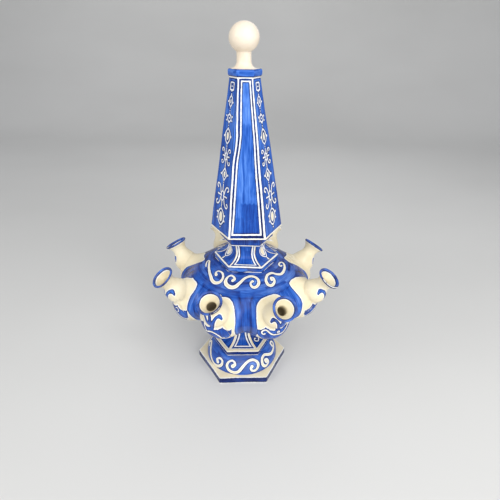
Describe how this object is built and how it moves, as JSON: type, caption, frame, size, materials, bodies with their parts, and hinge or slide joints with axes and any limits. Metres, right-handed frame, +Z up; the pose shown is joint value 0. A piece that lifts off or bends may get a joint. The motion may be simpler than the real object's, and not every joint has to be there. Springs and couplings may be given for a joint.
{
  "type": "tulipiere",
  "caption": "Glazed earthenware flower vase: hexagonal foot, round belly with upturned spouts for single stems, and a lift-off hexagonal spire with a ball finial.",
  "frame": {"origin": "centre of the base, on the belly's axis, in the plane the foot stands on", "axes": "+Z up along the belly's axis, -Y towards the front face, +X to the right as seen from the front"},
  "size_m": [0.2685, 0.2636, 0.5145],
  "materials": {
    "blue_glaze": "glossy tin glaze painted cobalt blue with cream reserves",
    "deep_blue_glaze": "glossy tin glaze painted dark cobalt blue",
    "cream_glaze": "glossy cream tin glaze"
  },
  "bodies": {
    "vase": {"foot_plate": "cream_glaze", "foot_dome": "blue_glaze", "lower_step": "deep_blue_glaze", "lower_waist": "blue_glaze", "belly_bowl": "blue_glaze", "shoulder_dome": "blue_glaze", "spout_front_left": "cream_glaze", "spout_front_right": "cream_glaze", "spout_right": "cream_glaze", "spout_rear_right": "cream_glaze", "spout_back_right": "cream_glaze", "spout_back_left": "cream_glaze", "spout_rear_left": "cream_glaze", "spout_left": "cream_glaze", "neck_flange": "blue_glaze", "neck": "blue_glaze", "neck_collar": "deep_blue_glaze"},
    "spire": {"spire_plug": "cream_glaze", "spire_floor": "cream_glaze", "spire_shell": "blue_glaze", "spire_cap": "blue_glaze", "finial_stem": "cream_glaze", "finial_ball": "cream_glaze"}
  },
  "joints": [
    {"name": "spire_lift", "type": "slide", "parent": "vase", "child": "spire", "axis": [0, 0, 1], "range_m": [0, 0.06]}
  ]
}
